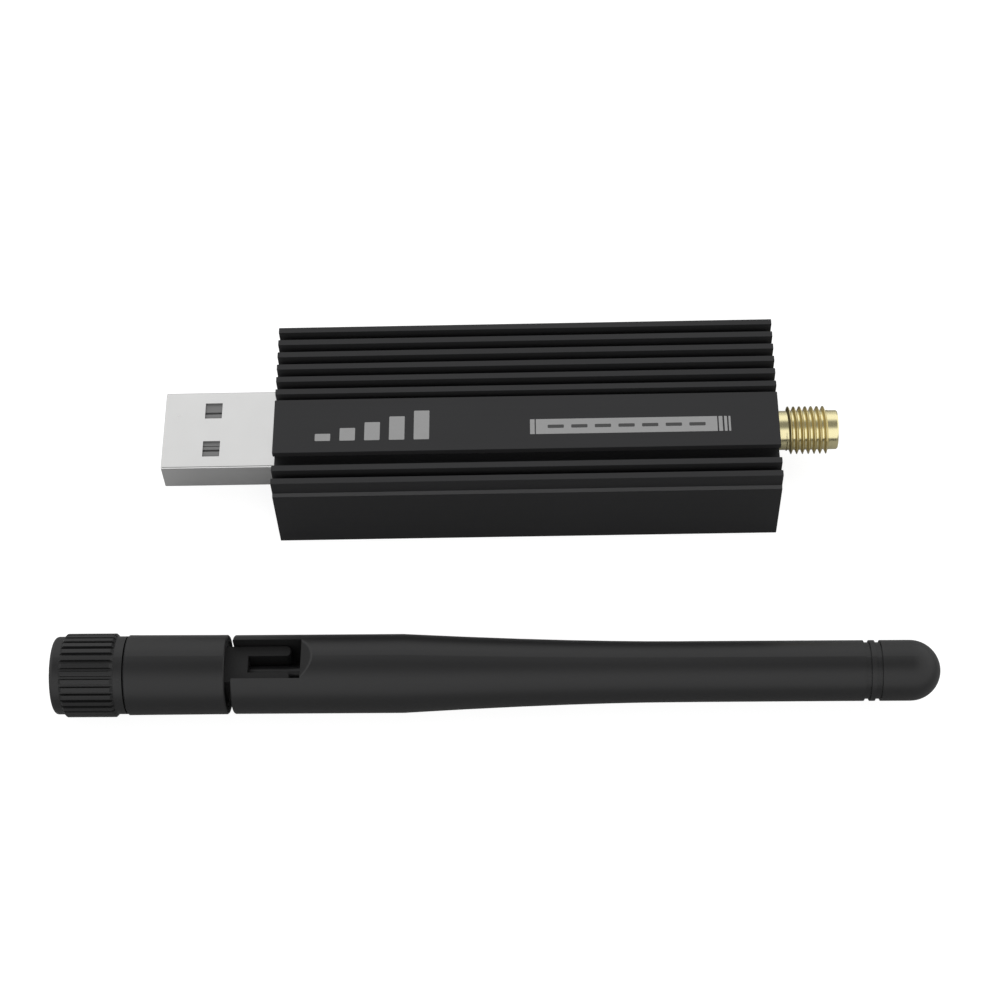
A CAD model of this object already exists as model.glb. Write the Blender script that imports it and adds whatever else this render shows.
import logging
import math
from dataclasses import dataclass, field
from enum import Enum
from typing import Any, Iterable, Optional, Sequence, Union

import bmesh
import bpy
from mathutils import Matrix, Vector


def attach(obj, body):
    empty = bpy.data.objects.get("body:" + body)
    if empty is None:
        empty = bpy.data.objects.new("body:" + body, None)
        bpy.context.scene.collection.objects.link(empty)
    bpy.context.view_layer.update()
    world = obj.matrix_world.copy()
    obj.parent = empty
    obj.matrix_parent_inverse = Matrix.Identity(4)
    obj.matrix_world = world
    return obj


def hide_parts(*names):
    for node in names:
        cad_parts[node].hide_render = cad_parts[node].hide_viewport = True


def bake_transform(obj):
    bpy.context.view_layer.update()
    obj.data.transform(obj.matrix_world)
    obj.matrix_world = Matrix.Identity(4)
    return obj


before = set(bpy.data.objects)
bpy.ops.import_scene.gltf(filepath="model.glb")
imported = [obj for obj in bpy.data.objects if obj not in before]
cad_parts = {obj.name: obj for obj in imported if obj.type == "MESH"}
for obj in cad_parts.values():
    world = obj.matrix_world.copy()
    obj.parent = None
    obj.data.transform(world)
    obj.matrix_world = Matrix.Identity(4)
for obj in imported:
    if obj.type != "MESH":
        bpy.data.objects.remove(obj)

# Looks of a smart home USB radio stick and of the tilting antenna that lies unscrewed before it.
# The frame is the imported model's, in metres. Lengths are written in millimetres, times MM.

log = logging.getLogger("radio_stick")
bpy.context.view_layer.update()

MM = 0.001
WELD = 1e-4 * MM
CORNER_STEPS = 4

# Sizes that a finish and a sub-assembly share, in millimetres.
ANTENNA_START = (-59.5, -35.05, 5.24)
JACK_LEVEL = 5.26
JACK_NECK = 2.6
JACK_CREST = 3.175
THREAD_PITCH = 0.77

Number = Union[float, "Signal"]
Triple = tuple[float, float, float]
Paint = Union[Triple, "Signal"]
Pair = tuple[float, float]

WHITE = (1.0, 1.0, 1.0, 1.0)

# Turns an outline in X and Y that is drawn up along Z into a section in Y and Z drawn along X.
ALONG_X = Matrix(((0, 0, 1, 0), (1, 0, 0, 0), (0, 1, 0, 0), (0, 0, 0, 1)))


class Body(Enum):
    """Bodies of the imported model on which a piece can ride."""

    STICK = "stick"
    GRIP = "antenna_grip"
    WHIP = "antenna_whip"


class Slot(Enum):
    """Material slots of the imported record."""

    HOUSING = "black_anodised_aluminium"
    PLATE = "black_anodised_plate"
    SCREW = "blackened_steel"
    BOARD = "green_board"
    PACKAGE = "black_package"
    CAN = "metal_can"
    LAMP = "clear_lamp"
    CERAMIC = "ceramic_block"
    PLUG = "plated_steel"
    TONGUE = "grey_insulator"
    GOLD = "gold_plate"
    WHITE = "white_insulator"
    ANTENNA = "black_antenna_plastic"
    BRONZE = "spring_bronze"
    JACKET = "black_cable_jacket"
    COPPER = "copper_wire"


@dataclass(frozen=True)
class Signal:
    """A value socket; arithmetic on it adds Math nodes to its graph."""

    graph: "Graph"
    socket: bpy.types.NodeSocket

    def maths(self, operation: str, *values: Number) -> "Signal":
        """Result of one Math node."""
        return self.graph.node("ShaderNodeMath", {"operation": operation}, dict(enumerate(values)))

    def __add__(self, other: Number) -> "Signal":
        """self + other."""
        return self.maths("ADD", self, other)

    def __radd__(self, other: Number) -> "Signal":
        """other + self."""
        return self.maths("ADD", other, self)

    def __sub__(self, other: Number) -> "Signal":
        """self - other."""
        return self.maths("SUBTRACT", self, other)

    def __rsub__(self, other: Number) -> "Signal":
        """other - self."""
        return self.maths("SUBTRACT", other, self)

    def __mul__(self, other: Number) -> "Signal":
        """self * other."""
        return self.maths("MULTIPLY", self, other)

    def __rmul__(self, other: Number) -> "Signal":
        """other * self."""
        return self.maths("MULTIPLY", other, self)

    def __truediv__(self, other: Number) -> "Signal":
        """self / other."""
        return self.maths("DIVIDE", self, other)

    def held(self) -> "Signal":
        """The value held between 0 and 1."""
        return self.maths("MAXIMUM", self.maths("MINIMUM", self, 1.0), 0.0)

    def either(self, other: Number) -> "Signal":
        """The larger of the two values."""
        return self.maths("MAXIMUM", self, other)


@dataclass(frozen=True)
class Graph:
    """A node tree and the calls that add nodes to it."""

    tree: bpy.types.NodeTree

    def node(
        self,
        kind: str,
        settings: dict[str, Any],
        inputs: dict[Union[int, str], Any],
        output: Union[int, str] = 0,
    ) -> Signal:
        """Adds a node of any type.

        Args:
            kind: the node's type name.
            settings: properties, set before the sockets; "stops" gives a ramp its stops.
            inputs: values or signals, by socket name or number.
            output: the socket that is returned.

        Returns:
            The chosen output as a signal, or None from a node that has no output.
        """
        made = self.tree.nodes.new(kind)
        for name, value in settings.items():
            if name == "stops":
                self.set_stops(made.color_ramp, value)
            else:
                setattr(made, name, value)
        for key, value in inputs.items():
            if isinstance(value, Signal):
                self.tree.links.new(value.socket, made.inputs[key])
            else:
                made.inputs[key].default_value = value
        return Signal(self, made.outputs[output]) if made.outputs else None

    @staticmethod
    def set_stops(ramp: bpy.types.ColorRamp, stops: Sequence[Pair]) -> None:
        """Gives a ramp its stops.

        Args:
            ramp: the ramp of a Color Ramp node.
            stops: (place, grey level) pairs in rising order.
        """
        while len(ramp.elements) < len(stops):
            ramp.elements.new(0.5)
        for element, (place, level) in zip(ramp.elements, stops):
            element.position = place
            element.color = (level, level, level, 1.0)

    def place(self) -> Signal:
        """Position on the piece at rest, in millimetres."""
        rest = self.node("ShaderNodeTexCoord", {}, {}, "Object")
        return self.scaled(rest, (1 / MM, 1 / MM, 1 / MM))

    def scaled(self, vector: Signal, by: Triple) -> Signal:
        """Vector multiplied along each axis."""
        return self.node("ShaderNodeVectorMath", {"operation": "MULTIPLY"}, {0: vector, 1: by})

    def along(self, vector: Signal, axis: str) -> Signal:
        """One component of a vector."""
        return self.node("ShaderNodeSeparateXYZ", {}, {0: vector}, axis)

    def noise(self, vector: Signal, scale: float, detail: float = 2.0) -> Signal:
        """Soft noise between about 0 and 1.

        Args:
            vector: where the noise is read.
            scale: cells per unit of the vector.
            detail: octaves.

        Returns:
            The noise value.
        """
        inputs = {"Vector": vector, "Scale": scale, "Detail": detail}
        return self.node("ShaderNodeTexNoise", {}, inputs, "Fac")

    def specks(self, vector: Signal, scale: float) -> Signal:
        """Distance to the nearest of many scattered points."""
        return self.node("ShaderNodeTexVoronoi", {}, {"Vector": vector, "Scale": scale}, "Distance")

    def ramp(self, value: Signal, *stops: Pair) -> Signal:
        """Value sent through a grey ramp.

        Args:
            value: the signal.
            stops: (place, level) pairs in rising order.

        Returns:
            The ramp's level.
        """
        return self.node("ShaderNodeValToRGB", {"stops": stops}, {0: value}, "Color")

    def mix(self, share: Number, first: Paint, second: Paint) -> Signal:
        """Colour mixed from two.

        Args:
            share: share of the second colour.
            first: colour at share 0.
            second: colour at share 1.

        Returns:
            The mixed colour.
        """
        settings = {"data_type": "RGBA", "clamp_factor": True}
        paints = (first, second)
        first, second = (paint if isinstance(paint, Signal) else (*paint, 1.0) for paint in paints)
        return self.node("ShaderNodeMix", settings, {0: share, 6: first, 7: second}, 2)

    def bump(self, height: Number, depth: float) -> Signal:
        """Normal bent by a height.

        Args:
            height: the height as a signal.
            depth: metres that a height of 1 stands for.

        Returns:
            The bent normal.
        """
        return self.node("ShaderNodeBump", {}, {"Height": height, "Distance": depth}, "Normal")


def scaled_colour(colour: Triple, by: float) -> Triple:
    """Colour with each channel multiplied."""
    red, green, blue = colour
    return (red * by, green * by, blue * by)


@dataclass(frozen=True)
class Surface:
    """What a finish lets vary over a surface; metallic is None where its constant holds."""

    colour: Signal
    roughness: Signal
    normal: Signal
    metallic: Optional[Signal] = None


@dataclass(frozen=True)
class Finish:
    """A finish: its colour and the constants of its shader.

    tone is how much lighter and darker than the colour the surface gets, as a share of it.
    """

    colour: Triple
    roughness: float
    tone: float = 0.1
    metallic: float = 0.0
    specular: float = 0.5
    edge_tint: Triple = (1.0, 1.0, 1.0)
    coat: float = 0.0

    def toned(self, graph: Graph, share: Number) -> Signal:
        """Colour between the darker and the lighter tone."""
        dark = scaled_colour(self.colour, 1 - self.tone)
        light = scaled_colour(self.colour, 1 + self.tone)
        return graph.mix(share, dark, light)

    def surface(self, graph: Graph) -> Surface:
        """What varies over this finish."""
        raise NotImplementedError

    def material(self, name: str) -> bpy.types.Material:
        """Makes the material.

        Args:
            name: the material's name.

        Returns:
            A new material with this finish.
        """
        made = bpy.data.materials.new(name)
        made.use_nodes = True
        made.node_tree.nodes.clear()
        graph = Graph(made.node_tree)
        varied = self.surface(graph)
        shader = graph.node("ShaderNodeBsdfPrincipled", {}, {
            "Base Color": varied.colour,
            "Roughness": varied.roughness,
            "Normal": varied.normal,
            "Metallic": varied.metallic or self.metallic,
            "Specular IOR Level": self.specular,
            "Specular Tint": (*self.edge_tint, 1.0),
            "Coat Weight": self.coat,
        })
        graph.node("ShaderNodeOutputMaterial", {}, {"Surface": shader})
        return made


@dataclass(frozen=True)
class Anodised(Finish):
    """Extruded or sawn aluminium, etched and dyed: faint lines along the draw and a fine grain."""

    line_run: float = 0.02
    line_pitch: float = 2.4
    line_depth: float = 0.006 * MM
    grain_scale: float = 7.0
    grain_share: float = 0.35
    dye_run: float = 0.4
    dye_scale: float = 0.12
    dye_share: float = 0.6
    spread: float = 0.12

    def surface(self, graph: Graph) -> Surface:
        """Drawing lines, etched grain and slow changes of the dye."""
        place = graph.place()
        drawn = graph.scaled(place, (self.line_run, self.line_pitch, self.line_pitch))
        lines = graph.noise(drawn, 1.0, 4.0)
        grain = graph.noise(place, self.grain_scale, 3.0)
        dye = graph.noise(graph.scaled(place, (self.dye_run, 1.0, 1.0)), self.dye_scale)
        share = dye * self.dye_share + lines * (1 - self.dye_share)
        rough = self.roughness + self.spread * (lines - 0.5) + self.spread * (grain - 0.5)
        height = lines * (1 - self.grain_share) + grain * self.grain_share
        return Surface(self.toned(graph, share), rough.held(), graph.bump(height, self.line_depth))


@dataclass(frozen=True)
class Moulded(Finish):
    """Moulded plastic, rubber or fired ceramic: a fine texture and faint flow marks.

    pit_ratio is how much closer the pits lie than the grain.
    """

    grain_scale: float = 5.0
    grain_depth: float = 0.008 * MM
    grain_share: float = 0.7
    pit_ratio: float = 1.7
    flow_run: float = 0.5
    flow_scale: float = 0.08
    flow_share: float = 0.7
    spread: float = 0.1

    def surface(self, graph: Graph) -> Surface:
        """Spark-eroded texture of the mould and slow flow marks."""
        place = graph.place()
        grain = graph.noise(place, self.grain_scale, 4.0)
        pits = graph.specks(place, self.grain_scale * self.pit_ratio)
        flow = graph.noise(graph.scaled(place, (self.flow_run, 1.0, 1.0)), self.flow_scale)
        share = flow * self.flow_share + grain * (1 - self.flow_share)
        rough = self.roughness + self.spread * (flow - 0.5) + self.spread * (grain - 0.5)
        height = grain * self.grain_share + pits * (1 - self.grain_share)
        return Surface(self.toned(graph, share), rough.held(), graph.bump(height, self.grain_depth))


@dataclass(frozen=True)
class Pivoted(Moulded):
    """Moulded plastic of the round antenna pieces, duller on the faces inside their joint.

    start and slant place the antenna's axis. reach is where the joint starts and ends along X, and
    depth is the radius within which its faces lie. depth_rise and reach_rise are how fast the
    dulling sets in there. Lengths are in millimetres.
    """

    start: Triple = ANTENNA_START
    slant: float = 0.0101
    reach: Pair = (-37.9, -26.5)
    reach_rise: float = 5.0
    depth: float = 4.85
    depth_rise: float = 10.0
    dull_share: float = 0.5
    dull_roughness: float = 0.6

    def surface(self, graph: Graph) -> Surface:
        """Spark-eroded texture, darker and rougher within the joint."""
        plain = super().surface(graph)
        place = graph.place()
        along = graph.along(place, "X")
        across = graph.along(place, "Y") - self.start[1] + (along - self.start[0]) * self.slant
        up = graph.along(place, "Z") - self.start[2]
        square = across * across + up * up
        within = ((self.depth - square.maths("SQRT", square)) * self.depth_rise).held()
        low, high = self.reach
        past_start = ((along - low) * self.reach_rise).held()
        before_end = ((high - along) * self.reach_rise).held()
        dull = within * past_start * before_end * self.dull_share
        colour = graph.mix(dull, plain.colour, (0.0, 0.0, 0.0))
        return Surface(colour, plain.roughness + dull * self.dull_roughness, plain.normal)


@dataclass(frozen=True)
class Rolled(Finish):
    """Folded and plated sheet: rolling lines along X, hairline scratches and smudges.

    hair_edge is between which noise levels a hairline scratch sets in, and hair_depth is its depth
    as a share of line_depth.
    """

    line_run: float = 0.05
    line_pitch: float = 5.0
    line_depth: float = 0.002 * MM
    line_spread: float = 0.06
    smudge_scale: float = 0.35
    smudge_share: float = 0.6
    hair_run: float = 0.7
    hair_pitch: float = 9.0
    hair_edge: Pair = (0.68, 0.72)
    hair_depth: float = 0.5
    spread: float = 0.12

    def surface(self, graph: Graph) -> Surface:
        """Rolling lines, scratches and smudges."""
        place = graph.place()
        rolled = graph.scaled(place, (self.line_run, self.line_pitch, self.line_pitch))
        lines = graph.noise(rolled, 1.0, 5.0)
        smudge = graph.noise(place, self.smudge_scale, 3.0)
        scratched = graph.scaled(place, (self.hair_run, self.hair_pitch, self.hair_pitch))
        low, high = self.hair_edge
        hairs = graph.ramp(graph.noise(scratched, 1.0, 1.0), (low, 0.0), (high, 1.0))
        rough = self.roughness + self.spread * (smudge - 0.5) + self.line_spread * (lines - 0.5)
        height = lines - hairs * self.hair_depth
        share = smudge * self.smudge_share + lines * (1 - self.smudge_share)
        return Surface(self.toned(graph, share), rough.held(), graph.bump(height, self.line_depth))


@dataclass(frozen=True)
class Turned(Finish):
    """Metal turned on a lathe about the X axis and plated: fine rings and a warm and cool tone."""

    ring_pitch: float = 14.0
    ring_run: float = 0.25
    ring_depth: float = 0.002 * MM
    cloud_scale: float = 0.5
    cloud_share: float = 0.7
    spread: float = 0.1

    def surface(self, graph: Graph) -> Surface:
        """Tool rings and cloudy plating."""
        place = graph.place()
        turned = graph.scaled(place, (self.ring_pitch, self.ring_run, self.ring_run))
        rings = graph.noise(turned, 1.0, 2.0)
        cloud = graph.noise(place, self.cloud_scale, 3.0)
        rough = self.roughness + self.spread * (cloud - 0.5) + self.spread * (rings - 0.5)
        share = cloud * self.cloud_share + rings * (1 - self.cloud_share)
        return Surface(self.toned(graph, share), rough.held(), graph.bump(rings, self.ring_depth))


@dataclass(frozen=True)
class Threaded(Turned):
    """Turned metal whose thread, about an axis along X, has dulled on its flanks.

    level is the axis's height, and root and crest are the thread's radii, all in millimetres.
    flank_stops give how dull it is, from 0 at the root to 1 at the crest. film is how far the
    dulled metal loses its metallic shine.
    """

    level: float = JACK_LEVEL
    root: float = JACK_NECK
    crest: float = JACK_CREST
    flank_stops: tuple[Pair, ...] = ((0.03, 0.0), (0.15, 1.0), (0.8, 1.0), (1.0, 0.55))
    dull_share: float = 0.6
    dull_colour: Triple = (0.4, 0.3, 0.09)
    dull_roughness: float = 0.2
    film: float = 0.5

    def surface(self, graph: Graph) -> Surface:
        """Tool rings and cloudy plating, darker on the flanks than on crests and roots."""
        plain = super().surface(graph)
        place = graph.place()
        across = graph.along(place, "Y")
        up = graph.along(place, "Z") - self.level
        square = across * across + up * up
        rise = (square.maths("SQRT", square) - self.root) / (self.crest - self.root)
        dull = graph.ramp(rise, *self.flank_stops) * self.dull_share
        colour = graph.mix(dull, plain.colour, self.dull_colour)
        rough = plain.roughness + dull * self.dull_roughness
        metallic = self.metallic - dull * self.film
        return Surface(colour, rough, plain.normal, metallic)


@dataclass(frozen=True)
class Laminate(Finish):
    """Solder mask over woven glass: the weave shows faintly through."""

    weave: float = 2.2
    weave_depth: float = 0.01 * MM
    cloud_scale: float = 0.2
    spread: float = 0.08

    def surface(self, graph: Graph) -> Surface:
        """Crossed threads under a glossy film."""
        place = graph.place()
        turn = 2 * math.pi * self.weave
        warp = graph.along(place, "X") * turn
        weft = graph.along(place, "Y") * turn
        threads = warp.maths("SINE", warp) * weft.maths("SINE", weft) * 0.5 + 0.5
        cloud = graph.noise(place, self.cloud_scale)
        rough = self.roughness + self.spread * (threads - 0.5) + self.spread * (cloud - 0.5)
        colour = self.toned(graph, threads * 0.5 + cloud * 0.5)
        return Surface(colour, rough.held(), graph.bump(threads, self.weave_depth))


@dataclass(frozen=True)
class Ink(Finish):
    """Screen-printed ink: the mesh of the screen and thinner places."""

    mesh_pitch: float = 6.0
    mesh_depth: float = 0.003 * MM
    thin_scale: float = 1.3
    thin_share: float = 0.8
    spread: float = 0.15

    def surface(self, graph: Graph) -> Surface:
        """Screen marks and thin patches."""
        place = graph.place()
        mesh = graph.specks(place, self.mesh_pitch)
        thin = graph.noise(place, self.thin_scale, 4.0)
        share = thin * self.thin_share + mesh * (1 - self.thin_share)
        rough = self.roughness + self.spread * (thin - 0.5)
        return Surface(self.toned(graph, share), rough.held(), graph.bump(mesh, self.mesh_depth))


BLACK_FILM = (0.3, 0.3, 0.3)

FINISHES: dict[Slot, Finish] = {
    Slot.HOUSING: Anodised((0.034, 0.034, 0.035), 0.42, metallic=0.4, specular=0.2,
                           edge_tint=BLACK_FILM),
    Slot.PLATE: Anodised((0.03, 0.03, 0.031), 0.46, metallic=0.4, specular=0.2,
                         edge_tint=BLACK_FILM, line_run=1.2),
    Slot.SCREW: Turned((0.06, 0.058, 0.055), 0.38, metallic=1.0),
    Slot.BOARD: Laminate((0.012, 0.11, 0.05), 0.28, tone=0.2, coat=0.3),
    Slot.PACKAGE: Moulded((0.012, 0.012, 0.013), 0.55, grain_scale=9.0),
    Slot.CAN: Rolled((0.6, 0.59, 0.56), 0.28, metallic=1.0),
    Slot.LAMP: Moulded((0.72, 0.74, 0.66), 0.15, coat=0.5, grain_depth=0.002 * MM),
    Slot.CERAMIC: Moulded((0.34, 0.24, 0.14), 0.5, grain_scale=12.0),
    Slot.PLUG: Rolled((0.74, 0.74, 0.735), 0.24, tone=0.03, metallic=1.0),
    Slot.TONGUE: Moulded((0.14, 0.14, 0.14), 0.5),
    Slot.GOLD: Turned((0.97, 0.88, 0.52), 0.21, tone=0.04, metallic=1.0),
    Slot.WHITE: Moulded((0.82, 0.82, 0.8), 0.35, tone=0.03, grain_depth=0.003 * MM),
    Slot.ANTENNA: Pivoted((0.0085, 0.0085, 0.0088), 0.4, tone=0.08, specular=0.44),
    Slot.BRONZE: Turned((0.6, 0.38, 0.17), 0.25, metallic=1.0),
    Slot.JACKET: Moulded((0.01, 0.01, 0.0105), 0.35, grain_scale=3.0, grain_depth=0.004 * MM),
    Slot.COPPER: Turned((0.72, 0.3, 0.16), 0.25, metallic=1.0),
}
PLAIN_GOLD = FINISHES[Slot.GOLD]
THREAD_GOLD = Threaded(PLAIN_GOLD.colour, PLAIN_GOLD.roughness, tone=PLAIN_GOLD.tone, metallic=1.0)
LEDGE_FILM = Anodised((0.055, 0.055, 0.056), 0.4, metallic=0.4, specular=0.3,
                      edge_tint=BLACK_FILM)
PRINT_INK = Ink((0.24, 0.24, 0.24), 0.55, tone=0.06)
DARK_INK = Ink((0.035, 0.035, 0.035), 0.55, tone=0.06)


@dataclass
class Wardrobe:
    """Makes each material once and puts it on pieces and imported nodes."""

    made: dict[str, bpy.types.Material] = field(default_factory=dict)

    def material(self, name: str, finish: Finish) -> bpy.types.Material:
        """The material of a finish, made on first use."""
        if name not in self.made:
            self.made[name] = finish.material(name)
        return self.made[name]

    def dress(self, slot: Slot, *nodes: str) -> None:
        """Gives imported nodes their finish.

        Args:
            slot: the record's slot.
            nodes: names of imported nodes.
        """
        for name in nodes:
            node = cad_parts[name]
            node.data.materials[0] = self.material("finish_" + slot.value, FINISHES[slot])
            log.info("dressed %s in %s", name, slot.value)

    def wear(
        self,
        piece: bpy.types.Object,
        slot: Optional[Slot],
        finish: Optional[Finish] = None,
    ) -> None:
        """Gives a new piece its finish and its slot.

        Args:
            piece: the new mesh object.
            slot: the record's slot that it takes its finish from, or None if it has no slot there.
            finish: a finish of its own, or None for the slot's.
        """
        name = piece.name + "_finish" if finish else "finish_" + slot.value
        piece.data.materials.append(self.material(name, finish or FINISHES[slot]))


@dataclass
class Skin:
    """A mesh in the making."""

    bm: bmesh.types.BMesh = field(default_factory=bmesh.new)

    def grid(self, rows: Sequence[Sequence[Vector]]) -> None:
        """Adds the faces between each row of points and the next.

        Args:
            rows: rows of equally many points.
        """
        made = [[self.bm.verts.new(point) for point in row] for row in rows]
        for low, high in zip(made, made[1:]):
            for i in range(len(low) - 1):
                self.bm.faces.new((low[i], low[i + 1], high[i + 1], high[i]))

    def prism(self, corners: Sequence[Pair], low: float, high: float) -> None:
        """Adds a flat outline drawn up from one height to another.

        Args:
            corners: outline in X and Y, counterclockwise.
            low: lower height.
            high: upper height.
        """
        bottom = [self.bm.verts.new((x, y, low)) for x, y in corners]
        top = [self.bm.verts.new((x, y, high)) for x, y in corners]
        self.bm.faces.new(bottom[::-1])
        self.bm.faces.new(top)
        for i in range(len(corners)):
            j = (i + 1) % len(corners)
            self.bm.faces.new((bottom[i], bottom[j], top[j], top[i]))

    def finished(self, name: str, place: Matrix, crease: float = 30.0) -> bpy.types.Object:
        """Welds the mesh and makes an object of it.

        Args:
            name: the piece's name.
            place: from the mesh's own axes to the frame.
            crease: edges sharper than this many degrees stay sharp.

        Returns:
            The new object, linked to the scene.
        """
        bmesh.ops.remove_doubles(self.bm, verts=self.bm.verts, dist=WELD)
        bmesh.ops.dissolve_degenerate(self.bm, dist=WELD, edges=self.bm.edges)
        bmesh.ops.recalc_face_normals(self.bm, faces=self.bm.faces)
        self.bm.transform(place)
        mesh = bpy.data.meshes.new(name)
        self.bm.to_mesh(mesh)
        self.bm.free()
        for face in mesh.polygons:
            face.use_smooth = True
        mesh.set_sharp_from_angle(angle=math.radians(crease))
        piece = bpy.data.objects.new(name, mesh)
        bpy.context.scene.collection.objects.link(piece)
        log.info("built %s with %d faces", name, len(mesh.polygons))
        return piece


def ring(x: float, radius: float, columns: int) -> list[Vector]:
    """Points round the X axis, the last one on the first."""
    turns = [2 * math.pi / columns * j for j in range(columns + 1)]
    return [Vector((x, radius * math.cos(turn), radius * math.sin(turn))) for turn in turns]


def rounded_bar(x: float, y: float, length: float, width: float, radius: float) -> list[Pair]:
    """Outline of a bar with rounded corners.

    Args:
        x: middle along X.
        y: middle along Y.
        length: size along X.
        width: size along Y.
        radius: radius of the corners.

    Returns:
        Corners, counterclockwise.
    """
    corners = []
    for quarter, (a, b) in enumerate(((1, 1), (-1, 1), (-1, -1), (1, -1))):
        middle_x = x + a * (length / 2 - radius)
        middle_y = y + b * (width / 2 - radius)
        for i in range(CORNER_STEPS + 1):
            angle = math.pi / 2 * (quarter + i / CORNER_STEPS)
            across, up = radius * math.cos(angle), radius * math.sin(angle)
            corners.append((middle_x + across, middle_y + up))
    return corners


@dataclass(frozen=True)
class Thread:
    """A right-handed screw thread along X, between its root and its crests.

    first_crest is where along X the first crest crosses the +Y side. crest_flat is half the width
    of the crest, flank the width of a flank and fade the length over which the thread rises at its
    ends, all as shares of the pitch.
    """

    start: float
    end: float
    pitch: float
    root: float
    crest: float
    first_crest: float
    crest_flat: float = 0.05
    flank: float = 0.31
    flank_steps: int = 5
    fade: float = 0.3
    columns: int = 96

    def height(self, phase: float) -> float:
        """Height of the thread's section, from 0 at the root to 1 at the crest."""
        away = abs((phase + 0.5) % 1.0 - 0.5)
        return 1 - min(max((away - self.crest_flat) / self.flank, 0.0), 1.0)

    def phases(self) -> list[float]:
        """Places in one pitch at which the section is sampled, from crest to crest."""
        steps = [self.flank * i / self.flank_steps for i in range(self.flank_steps + 1)]
        falling = [0.0] + [self.crest_flat + step for step in steps]
        return falling + [0.5] + [1 - place for place in falling[:0:-1]]

    def rows(self) -> list[list[Vector]]:
        """Rows of points that run along the helix, held within the thread's ends."""
        shift = (self.first_crest - self.start) / self.pitch
        turns = math.ceil((self.end - self.start) / self.pitch)
        places = [lap + phase for lap in range(-2, turns + 2) for phase in self.phases()]
        rows = []
        for place in places:
            row = []
            for j in range(self.columns + 1):
                share = j / self.columns
                raw = self.start + (place + share + shift) * self.pitch
                x = min(max(raw, self.start), self.end)
                inside = min(x - self.start, self.end - x) / (self.fade * self.pitch)
                rise = self.height(place % 1.0) * min(max(inside, 0.0), 1.0)
                radius = self.root + (self.crest - self.root) * rise
                angle = 2 * math.pi * share
                row.append(Vector((x, radius * math.cos(angle), radius * math.sin(angle))))
            rows.append(row)
        return rows


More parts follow.
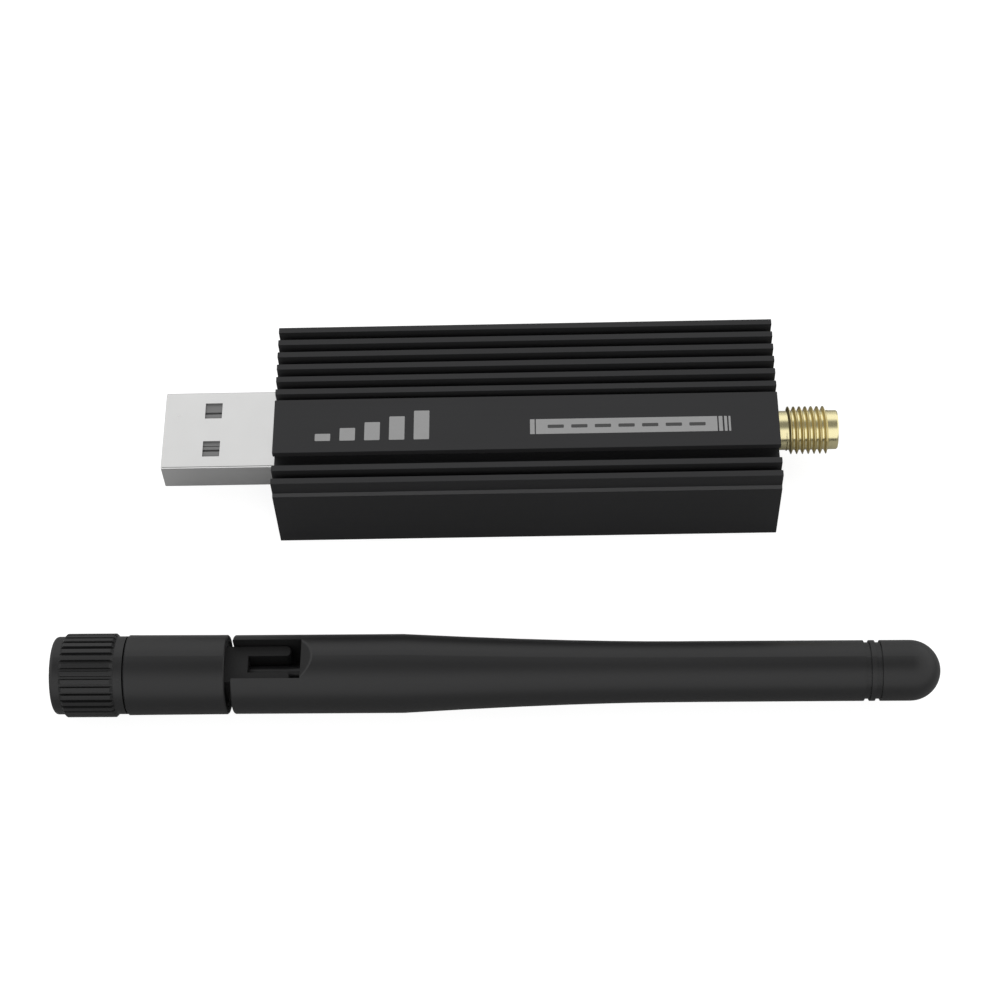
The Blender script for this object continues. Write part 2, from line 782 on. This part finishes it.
@dataclass
class Stick:
    """Housing with its end plates, screws and sloping ledges, and the plain prints on its band.

    side_bars are the middles and widths of the narrow bars beside the field, in millimetres.
    """

    wardrobe: Wardrobe
    edge_width: float = 0.05 * MM
    edge_segments: int = 2
    edge_angle: float = 40.0
    half_length: float = 32.74 * MM
    slope_outside: float = 12.73 * MM
    slope_inside: float = 12.25 * MM
    slope_low: float = 10.9 * MM
    slope_high: float = 11.23 * MM
    print_level: float = 13.5 * MM
    print_height: float = 0.012 * MM
    print_root: float = 0.01 * MM
    field_start: float = 1.3 * MM
    field_end: float = 24.75 * MM
    field_y: float = -4.2 * MM
    field_width: float = 2.3 * MM
    field_corner: float = 0.04 * MM
    side_bars: tuple[Pair, ...] = ((0.85, 0.6), (25.18, 0.5), (25.83, 0.36), (26.34, 0.26))
    dash_count: int = 7
    dash_length: float = 2.1 * MM
    dash_pitch: float = 3.05 * MM
    dash_width: float = 0.5 * MM
    step_count: int = 5
    step_start: float = -26.3 * MM
    step_pitch: float = 3.2 * MM
    step_width: float = 2.0 * MM
    step_foot: float = -5.85 * MM
    step_first: float = 1.1 * MM
    step_rise: float = 0.84 * MM
    corner: float = 0.12 * MM

    def build(self) -> None:
        """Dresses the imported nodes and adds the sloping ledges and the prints."""
        self.wardrobe.dress(Slot.HOUSING, "housing")
        self.wardrobe.dress(Slot.PLATE, "usb_end_plate", "antenna_end_plate")
        self.wardrobe.dress(Slot.SCREW, "usb_plate_screws", "antenna_plate_screws")
        self.soften("housing")
        self.add_ledge_slopes()
        self.add_print("band_steps", self.steps(), PRINT_INK, 0.0)
        self.add_print("band_field", self.field_shapes(), PRINT_INK, 0.0)
        self.add_print("band_dashes", self.dashes(), DARK_INK, self.print_height)

    def soften(self, name: str) -> None:
        """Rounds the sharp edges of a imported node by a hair."""
        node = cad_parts[name]
        weld = node.modifiers.new("weld", "WELD")
        weld.merge_threshold = WELD
        bevel = node.modifiers.new("edges", "BEVEL")
        bevel.width = self.edge_width
        bevel.segments = self.edge_segments
        bevel.limit_method = "ANGLE"
        bevel.angle_limit = math.radians(self.edge_angle)
        bevel.harden_normals = True

    def add_ledge_slopes(self) -> None:
        """Slopes the two ledges that run along the housing outside its fins, down to its sides."""
        skin = Skin()
        for side in (1, -1):
            inside = side * self.slope_inside
            outline = [
                (side * self.slope_outside, self.slope_low),
                (inside, self.slope_low),
                (inside, self.slope_high),
            ]
            skin.prism(outline, -self.half_length, self.half_length)
        piece = skin.finished("ledge_slopes", ALONG_X)
        self.wardrobe.wear(piece, Slot.HOUSING, LEDGE_FILM)
        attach(piece, Body.STICK.value)

    def steps(self) -> list[list[Pair]]:
        """Row of bars that grow from left to right."""
        bars = []
        for i in range(self.step_count):
            height = self.step_first + i * self.step_rise
            x = self.step_start + i * self.step_pitch
            y = self.step_foot + height / 2
            bars.append(rounded_bar(x, y, self.step_width, height, self.corner))
        return bars

    def field_shapes(self) -> list[list[Pair]]:
        """Long field with narrow bars at its ends."""
        middle = (self.field_start + self.field_end) / 2
        pieces = [(middle, self.field_end - self.field_start)]
        pieces += [(x * MM, width * MM) for x, width in self.side_bars]
        return [rounded_bar(x, self.field_y, width, self.field_width, self.field_corner)
                for x, width in pieces]

    def dashes(self) -> list[list[Pair]]:
        """Row of equal dashes on the field."""
        middle = (self.field_start + self.field_end) / 2
        first = middle - (self.dash_count - 1) / 2 * self.dash_pitch
        places = [first + i * self.dash_pitch for i in range(self.dash_count)]
        return [rounded_bar(x, self.field_y, self.dash_length, self.dash_width, self.corner)
                for x in places]

    def add_print(
        self,
        name: str,
        shapes: Iterable[Sequence[Pair]],
        ink: Finish,
        lift: float,
    ) -> None:
        """Adds printed shapes on the band.

        Args:
            name: the piece's name.
            shapes: outlines on the band.
            ink: its finish.
            lift: height above the band at which the print starts.
        """
        skin = Skin()
        low = self.print_level + lift - self.print_root
        for corners in shapes:
            skin.prism(corners, low, self.print_level + lift + self.print_height)
        piece = skin.finished(name, Matrix())
        self.wardrobe.wear(piece, None, ink)
        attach(piece, Body.STICK.value)


@dataclass
class Board:
    """Circuit board and what is soldered to it."""

    wardrobe: Wardrobe

    def build(self) -> None:
        """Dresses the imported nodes."""
        self.wardrobe.dress(Slot.BOARD, "circuit_board")
        self.wardrobe.dress(Slot.PACKAGE, "radio_chip", "bridge_chip", "regulator")
        self.wardrobe.dress(Slot.CAN, "crystal")
        self.wardrobe.dress(Slot.LAMP, "status_leds")
        self.wardrobe.dress(Slot.CERAMIC, "capacitors")


@dataclass
class UsbPlug:
    """Plug: folded shell, moulded tongue and contacts."""

    wardrobe: Wardrobe

    def build(self) -> None:
        """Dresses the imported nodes."""
        self.wardrobe.dress(Slot.PLUG, "usb_plug_shell")
        self.wardrobe.dress(Slot.TONGUE, "usb_plug_tongue")
        self.wardrobe.dress(Slot.GOLD, "usb_contacts")


@dataclass
class CoaxJack:
    """Threaded jack: its body with a real helix, its insulator and its pin.

    ring_gap is how far beside the thread an extra ring lies, which keeps the shading of the
    thread's faces off the plain neck. rim is how far behind the end, and how far inside the neck's
    radius, the rim's middle ring lies.
    """

    wardrobe: Wardrobe
    level: float = JACK_LEVEL * MM
    back: float = 29.45 * MM
    flange_front: float = 31.05 * MM
    flange_half: float = 3.2 * MM
    flange_corner: float = 0.1 * MM
    neck_radius: float = JACK_NECK * MM
    crest_radius: float = JACK_CREST * MM
    mouth_radius: float = 2.08 * MM
    thread_start: float = 34.4 * MM
    thread_end: float = 40.0 * MM
    end: float = 41.25 * MM
    chamfer: float = 0.2 * MM
    rim: Pair = (0.1 / 3 * MM, 0.1 * MM)
    ring_gap: float = 0.1 * MM
    pitch: float = THREAD_PITCH * MM
    first_crest: float = 34.66 * MM
    leg_size: float = 0.8 * MM
    leg_length: float = 4.4 * MM
    leg_spacing: float = 5.6 * MM
    board_top: float = 5.86 * MM
    board_bottom: float = 4.66 * MM

    def build(self) -> None:
        """Builds the threaded body and dresses the rest."""
        self.add_body()
        self.wardrobe.dress(Slot.WHITE, "jack_insulator")
        self.wardrobe.dress(Slot.GOLD, "jack_pin")

    def add_body(self) -> None:
        """Turned body with its thread, flange and legs."""
        thread = Thread(self.thread_start, self.thread_end, self.pitch, self.neck_radius,
                        self.crest_radius, self.first_crest)
        skin = Skin()
        skin.grid(thread.rows())
        rim_back, rim_inside = self.rim
        outer = [
            (self.thread_end, self.neck_radius),
            (self.thread_end + self.ring_gap, self.neck_radius),
            (self.end - self.chamfer, self.neck_radius),
            (self.end - rim_back, self.neck_radius - rim_inside),
            (self.end, self.mouth_radius),
        ]
        bore = [(self.end, self.mouth_radius), (self.back, self.mouth_radius)]
        neck = [
            (self.back, self.mouth_radius),
            (self.back, self.neck_radius),
            (self.thread_start - self.ring_gap, self.neck_radius),
            (self.thread_start, self.neck_radius),
        ]
        for profile in (outer, bore, neck):
            skin.grid([ring(x, radius, thread.columns) for x, radius in profile])
        for outline, low, high in self.fixings():
            skin.prism(outline, low, high)
        piece = skin.finished("threaded_jack", Matrix.Translation((0, 0, self.level)))
        self.wardrobe.wear(piece, Slot.GOLD, THREAD_GOLD)
        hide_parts("jack_body")
        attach(piece, Body.STICK.value)

    def fixings(self) -> list[tuple[list[Pair], float, float]]:
        """Outlines and heights of the four parts of the square flange, and of the four legs."""
        half = self.flange_half
        bore = self.neck_radius
        middle = (self.back + self.flange_front) / 2
        depth = self.flange_front - self.back
        corner = self.flange_corner
        found = []
        for side in (1, -1):
            outline = rounded_bar(middle, side * (half + bore) / 2, depth, half - bore, corner)
            found.append((outline, -half, half))
            leg = rounded_bar(self.back - self.leg_length / 2, side * self.leg_spacing / 2,
                              self.leg_length, self.leg_size, corner)
            for low in (self.board_top, self.board_bottom - self.leg_size):
                found.append((leg, low - self.level, low + self.leg_size - self.level))
            plate = rounded_bar(middle, 0, depth, 2 * bore, corner)
            found.append((plate, *sorted((side * bore, side * half))))
        return found


@dataclass(frozen=True)
class AntennaAxis:
    """Where the antenna lies: its own X axis runs from the grip to the tip."""

    start: Triple = tuple(value * MM for value in ANTENNA_START)
    yaw: float = -0.58
    hinge: float = 27.15 * MM

    def place(self) -> Matrix:
        """From the antenna's own axes to the frame."""
        return Matrix.Translation(self.start) @ Matrix.Rotation(math.radians(self.yaw), 4, "Z")

    def point(self, along: float) -> Vector:
        """Point of the axis in the frame."""
        return self.place() @ Vector((along, 0, 0))


@dataclass
class ScrewCoupling:
    """Turning grip with its threaded nut, and the coaxial plug inside."""

    wardrobe: Wardrobe
    axis: AntennaAxis
    nut_start: float = 0.5 * MM
    thread_end: float = 3.6 * MM
    undercut_end: float = 6.9 * MM
    nut_end: float = 8.1 * MM
    nut_radius: float = 4.1 * MM
    half_flat: float = 3.75 * MM
    bore_radius: float = 3.225 * MM
    crest_radius: float = 2.85 * MM
    undercut_radius: float = 3.4 * MM
    lip_radius: float = 2.68 * MM
    pitch: float = THREAD_PITCH * MM
    first_crest: float = 0.6925 * MM
    columns: int = 72

    def build(self) -> None:
        """Builds the nut and dresses the rest."""
        self.wardrobe.dress(Slot.ANTENNA, "knurled_grip")
        self.add_nut()
        self.wardrobe.dress(Slot.BRONZE, "snap_ring")
        self.wardrobe.dress(Slot.GOLD, "plug_ferrule", "plug_socket")
        self.wardrobe.dress(Slot.WHITE, "plug_insulator")

    def flatted_ring(self, x: float) -> list[Vector]:
        """Ring of the nut's outside, held between its two flats."""
        points = ring(x, self.nut_radius, self.columns)
        for point in points:
            point.z = min(max(point.z, -self.half_flat), self.half_flat)
        return points

    def add_nut(self) -> None:
        """Brass nut with flats, a threaded bore, an undercut and a rear lip."""
        thread = Thread(self.nut_start, self.thread_end, self.pitch, self.bore_radius,
                        self.crest_radius, self.first_crest, columns=self.columns)
        skin = Skin()
        skin.grid(thread.rows())
        inside = [
            (self.thread_end, self.bore_radius),
            (self.thread_end, self.undercut_radius),
            (self.undercut_end, self.undercut_radius),
            (self.undercut_end, self.lip_radius),
            (self.nut_end, self.lip_radius),
        ]
        skin.grid([ring(x, radius, self.columns) for x, radius in inside])
        skin.grid([
            ring(self.nut_end, self.lip_radius, self.columns),
            self.flatted_ring(self.nut_end),
            self.flatted_ring(self.nut_start),
            ring(self.nut_start, self.bore_radius, self.columns),
        ])
        piece = skin.finished("threaded_nut", self.axis.place())
        self.wardrobe.wear(piece, Slot.GOLD)
        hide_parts("coupling_nut")
        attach(piece, Body.GRIP.value)


@dataclass
class Knuckle:
    """Barrel with its split tongue, and the lead that bends between the prongs.

    bend_reach is how far to each side of the hinge the lead bends. Its rings lie fine_step apart
    within fine_reach of the hinge and coarse_step apart elsewhere.
    """

    wardrobe: Wardrobe
    axis: AntennaAxis
    lead_start: float = 9.25 * MM
    lead_end: float = 62.35 * MM
    lead_radius: float = 1.1 * MM
    bend_reach: float = 2.7 * MM
    fine_reach: float = 4.05 * MM
    fine_step: float = 0.2 * MM
    coarse_step: float = 2.5 * MM
    columns: int = 24

    def build(self) -> None:
        """Dresses the barrel and builds the lead."""
        self.wardrobe.dress(Slot.ANTENNA, "antenna_barrel")
        self.add_lead()

    def stations(self) -> list[float]:
        """Places of the lead's rings, close together where it bends."""
        places = [self.lead_start]
        while places[-1] < self.lead_end - self.coarse_step:
            near = abs(places[-1] - self.axis.hinge) < self.fine_reach
            places.append(places[-1] + (self.fine_step if near else self.coarse_step))
        return places + [self.lead_end]

    def add_lead(self) -> None:
        """Round lead from the ferrule to the radiator, bent across the hinge."""
        skin = Skin()
        rows = [ring(x, self.lead_radius, self.columns) for x in self.stations()]
        first = [Vector((self.lead_start, 0, 0))] * (self.columns + 1)
        last = [Vector((self.lead_end, 0, 0))] * (self.columns + 1)
        skin.grid([first, *rows, last])
        piece = skin.finished("feed_lead", self.axis.place())
        self.wardrobe.wear(piece, Slot.JACKET)
        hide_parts("feed_cable_lower", "feed_cable_upper")
        start = self.axis.point(self.axis.hinge - self.bend_reach)
        end = self.axis.point(self.axis.hinge + self.bend_reach)
        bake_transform(piece)


@dataclass
class Whip:
    """Forked sheath with its cap and the radiator inside."""

    wardrobe: Wardrobe

    def build(self) -> None:
        """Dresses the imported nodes."""
        self.wardrobe.dress(Slot.ANTENNA, "whip_sheath", "tip_cap")
        self.wardrobe.dress(Slot.BRONZE, "sleeve_radiator")
        self.wardrobe.dress(Slot.COPPER, "radiator_wire")


@dataclass(frozen=True)
class Softbox:
    """Rectangular studio lamp that faces the object.

    azimuth is 0 in front of the object and 180 behind it, elevation is above the floor, in degrees.
    """

    name: str
    azimuth: float
    elevation: float
    distance: float
    size: Pair
    power: float

    def add(self) -> None:
        """Adds the lamp."""
        turn = math.radians(self.azimuth)
        lift = math.radians(self.elevation)
        level = math.cos(lift)
        away = Vector((math.sin(turn) * level, -math.cos(turn) * level, math.sin(lift)))
        data = bpy.data.lights.new(self.name, "AREA")
        data.shape = "RECTANGLE"
        data.size, data.size_y = self.size
        data.energy = self.power
        lamp = bpy.data.objects.new(self.name, data)
        lamp.location = away * self.distance
        lamp.rotation_mode = "QUATERNION"
        lamp.rotation_quaternion = away.to_track_quat("Z", "Y")
        lamp.visible_camera = False
        lamp.visible_glossy = False
        bpy.context.scene.collection.objects.link(lamp)


@dataclass
class Studio:
    """Pale floor, soft lamps, white surroundings and the camera.

    The floor that the camera sees turns plain white between near_floor and far_floor from the
    middle. Reflections see white walls, with the levels ceiling and back_wall above and at the foot
    of the back wall; ceiling_edge and back_edge are between which parts of a direction, up and
    back, these set in.
    """

    lens: float = 83.578
    sensor: float = 36.0
    near_clip: float = 10 * MM
    eye: Triple = (0.0023264, -0.1708169, 0.2633933)
    right: Triple = (0.999672, -0.003967, -0.025288)
    up: Triple = (0.016728, 0.849033, 0.528075)
    back: Triple = (0.019375, -0.528325, 0.848821)
    floor_half: float = 3.0
    floor_level: float = -0.01 * MM
    floor_colour: float = 0.32
    floor_lift: float = 0.84
    near_floor: float = 0.14
    far_floor: float = 0.4
    ambient: float = 0.5
    ceiling: float = 0.22
    ceiling_edge: Pair = (0.845, 0.96)
    back_wall: float = 0.6
    back_edge: Pair = (0.88, 0.98)
    softboxes: tuple[Softbox, ...] = (
        Softbox("key_softbox", 180.0, 50.0, 0.9, (1.3, 1.1), 6.3),
        Softbox("front_softbox", 0.0, 42.0, 0.9, (0.9, 0.35), 3.4),
    )

    def build(self) -> None:
        """Adds the camera, the floor, the lamps and the surroundings."""
        self.add_camera()
        self.add_floor()
        for softbox in self.softboxes:
            softbox.add()
        self.add_surroundings()
        bpy.context.scene.view_settings.view_transform = "Standard"

    def add_camera(self) -> None:
        """Camera at the photograph's place and angle."""
        data = bpy.data.cameras.new("camera")
        data.lens = self.lens
        data.sensor_width = self.sensor
        data.clip_start = self.near_clip
        camera = bpy.data.objects.new("camera", data)
        rows = zip(self.right, self.up, self.back, self.eye)
        camera.matrix_world = Matrix((*rows, (0, 0, 0, 1)))
        bpy.context.scene.collection.objects.link(camera)
        bpy.context.scene.camera = camera

    @staticmethod
    def seen(graph: Graph, *kinds: str) -> Signal:
        """1 for rays of the named kinds and 0 for all others."""
        rays = [graph.node("ShaderNodeLightPath", {}, {}, f"Is {kind} Ray") for kind in kinds]
        found = rays[0]
        for ray in rays[1:]:
            found = found.either(ray)
        return found

    def add_floor(self) -> None:
        """Pale floor that turns into plain white far from the object."""
        skin = Skin()
        ends = (-self.floor_half, self.floor_half)
        skin.grid([[Vector((x, y, self.floor_level)) for x in ends] for y in ends])
        floor = skin.finished("floor", Matrix())
        made = bpy.data.materials.new("floor")
        made.use_nodes = True
        made.node_tree.nodes.clear()
        graph = Graph(made.node_tree)
        paint = (self.floor_colour,) * 3 + (1.0,)
        plain = graph.node("ShaderNodeBsdfDiffuse", {}, {"Color": paint})
        lift = graph.node("ShaderNodeEmission", {}, {"Color": WHITE, "Strength": self.floor_lift})
        lifted = graph.node("ShaderNodeAddShader", {}, {0: plain, 1: lift})
        white = graph.node("ShaderNodeEmission", {}, {"Color": WHITE, "Strength": 1.0})
        place = graph.node("ShaderNodeTexCoord", {}, {}, "Object")
        away = graph.node("ShaderNodeVectorMath", {"operation": "LENGTH"}, {0: place}, "Value")
        far = ((away - self.near_floor) / (self.far_floor - self.near_floor)).held()
        to_camera = self.seen(graph, "Camera")
        near = graph.node("ShaderNodeMixShader", {}, {0: to_camera, 1: plain, 2: lifted})
        share = far * self.seen(graph, "Camera", "Glossy", "Transmission")
        floor_shader = graph.node("ShaderNodeMixShader", {}, {0: share, 1: near, 2: white})
        graph.node("ShaderNodeOutputMaterial", {}, {"Surface": floor_shader})
        floor.data.materials.append(made)

    @staticmethod
    def dimmed(graph: Graph, value: Signal, edge: Pair, level: float) -> Signal:
        """Level of the surroundings: 1 below the edge, and the given level beyond it."""
        return graph.ramp(value, (edge[0], 1.0), (edge[1], level))

    def add_surroundings(self) -> None:
        """White walls, a darker ceiling and foot of the back wall, and even light all round."""
        world = bpy.data.worlds.new("studio")
        world.use_nodes = True
        world.node_tree.nodes.clear()
        bpy.context.scene.world = world
        graph = Graph(world.node_tree)
        toward = graph.node("ShaderNodeTexCoord", {}, {}, "Generated")
        wall = self.dimmed(graph, graph.along(toward, "Z"), self.ceiling_edge, self.ceiling)
        back = self.dimmed(graph, graph.along(toward, "Y"), self.back_edge, self.back_wall)
        wall = (wall * back).either(self.seen(graph, "Camera"))
        shown = graph.node("ShaderNodeBackground", {}, {"Color": wall, "Strength": 1.0})
        even = graph.node("ShaderNodeBackground", {}, {"Color": WHITE, "Strength": self.ambient})
        seen = self.seen(graph, "Camera", "Glossy", "Transmission")
        both = graph.node("ShaderNodeMixShader", {}, {0: seen, 1: even, 2: shown})
        graph.node("ShaderNodeOutputWorld", {}, {"Surface": both})


def main() -> None:
    """Builds the studio and every sub-assembly."""
    logging.basicConfig(level=logging.INFO, format="%(name)s: %(message)s")
    wardrobe = Wardrobe()
    axis = AntennaAxis()
    Studio().build()
    Stick(wardrobe).build()
    Board(wardrobe).build()
    UsbPlug(wardrobe).build()
    CoaxJack(wardrobe).build()
    ScrewCoupling(wardrobe, axis).build()
    Knuckle(wardrobe, axis).build()
    Whip(wardrobe).build()


if __name__ == "__main__":
    main()
